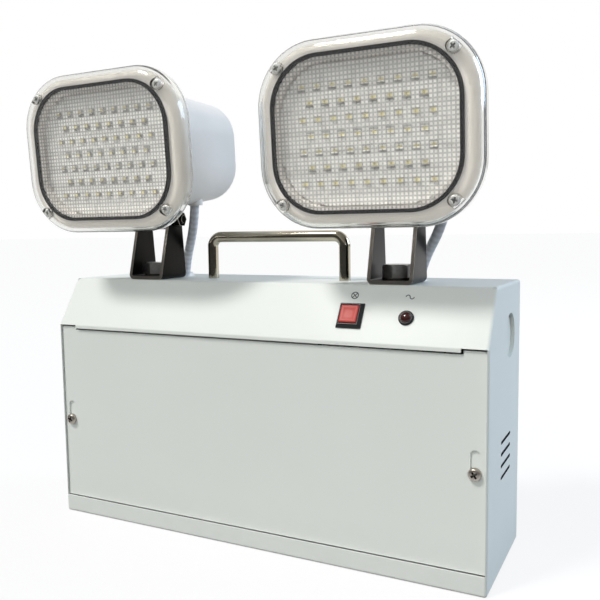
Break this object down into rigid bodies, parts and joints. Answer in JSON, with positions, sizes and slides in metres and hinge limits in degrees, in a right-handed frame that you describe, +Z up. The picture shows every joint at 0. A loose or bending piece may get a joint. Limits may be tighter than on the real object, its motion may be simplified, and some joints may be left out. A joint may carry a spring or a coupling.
{
  "type": "emergency light",
  "caption": "Battery emergency light: a folded steel case with a sliding front cover, a carrying handle and a test button, under lamp heads that pan and tilt on steel yokes.",
  "frame": {"origin": "centre of the case's underside, where it stands", "axes": "+X to the right of someone facing the lenses, +Y to the back, +Z up"},
  "size_m": [0.332, 0.1251, 0.3292],
  "materials": {
    "case_paint": "gloss powder coat",
    "plated_steel": "zinc plate",
    "bright_steel": "polished",
    "yoke_steel": "polished stainless",
    "black_plastic": "satin",
    "red_plastic": "gloss",
    "indicator_red": "gloss",
    "white_plastic": "gloss moulding",
    "clear_plastic": "clear moulding",
    "seal_rubber": "matt",
    "lead_sheath": "smooth sheath",
    "lamp_board": "white solder mask",
    "lamp_phosphor": "phosphor",
    "battery_case": "moulded",
    "brass_tab": "plain",
    "core_steel": "varnished laminations",
    "winding": "taped winding",
    "board_green": "solder mask",
    "sink_metal": "plain",
    "relay_plastic": "moulded"
  },
  "bodies": {
    "box": {"case": "case_paint", "left_cover_rail": "plated_steel", "right_cover_rail": "plated_steel", "cover_screws": "plated_steel", "cover_nuts": "plated_steel", "handle_washers": "plated_steel", "handle_nuts": "plated_steel", "pan_washers": "plated_steel", "pan_nuts": "plated_steel", "battery_strap": "plated_steel", "strap_screws": "plated_steel", "handle": "bright_steel", "pan_bolts": "bright_steel", "switch_body": "black_plastic", "indicator_bezel": "black_plastic", "indicator_lens": "indicator_red", "left_lead_bush": "white_plastic", "right_lead_bush": "white_plastic", "battery": "battery_case", "battery_tabs": "brass_tab", "board_standoffs": "brass_tab", "transformer_core": "core_steel", "transformer_coil": "winding", "charger_board": "board_green", "heat_sink": "sink_metal", "board_capacitors": "sink_metal", "charge_relay": "relay_plastic", "terminal_block": "relay_plastic"},
    "cover": {"front_cover": "case_paint"},
    "test_button": {"test_button": "red_plastic"},
    "left_yoke": {"left_yoke": "yoke_steel", "left_pivot_bolt": "yoke_steel", "left_pivot_nut": "yoke_steel", "left_pivot_washers": "yoke_steel", "left_lead": "lead_sheath"},
    "left_head": {"left_housing": "white_plastic", "left_lens": "clear_plastic", "left_seal": "seal_rubber", "left_lens_screws": "plated_steel", "left_led_board": "lamp_board", "left_led_chips": "lamp_phosphor", "left_lead_gland": "white_plastic"},
    "right_yoke": {"right_yoke": "yoke_steel", "right_pivot_bolt": "yoke_steel", "right_pivot_nut": "yoke_steel", "right_pivot_washers": "yoke_steel", "right_lead": "lead_sheath"},
    "right_head": {"right_housing": "white_plastic", "right_lens": "clear_plastic", "right_seal": "seal_rubber", "right_lens_screws": "plated_steel", "right_led_board": "lamp_board", "right_led_chips": "lamp_phosphor", "right_lead_gland": "white_plastic"}
  },
  "joints": [
    {"name": "left_pan", "type": "hinge", "parent": "box", "child": "left_yoke", "pos_m": [-0.097, -0.011, 0.183], "axis": [0, 0, 1], "range_deg": [-60, 25], "deforming": ["left_lead"]},
    {"name": "left_tilt", "type": "hinge", "parent": "left_yoke", "child": "left_head", "pos_m": [-0.097, -0.0075, 0.228], "axis": [1, 0, 0], "range_deg": [-29, 30], "deforming": ["left_lead"]},
    {"name": "right_pan", "type": "hinge", "parent": "box", "child": "right_yoke", "pos_m": [0.097, -0.011, 0.183], "axis": [0, 0, 1], "range_deg": [-25, 60], "deforming": ["right_lead"]},
    {"name": "right_tilt", "type": "hinge", "parent": "right_yoke", "child": "right_head", "pos_m": [0.097, -0.0075, 0.228], "axis": [1, 0, 0], "range_deg": [-29, 30], "deforming": ["right_lead"]},
    {"name": "cover_slide", "type": "slide", "parent": "box", "child": "cover", "axis": [0, 0, -1], "range_m": [0, 0.01]},
    {"name": "test_press", "type": "slide", "parent": "box", "child": "test_button", "axis": [0, 0.8487, -0.5289], "range_m": [0, 0.0025], "stiffness_N_per_m": 500}
  ]
}
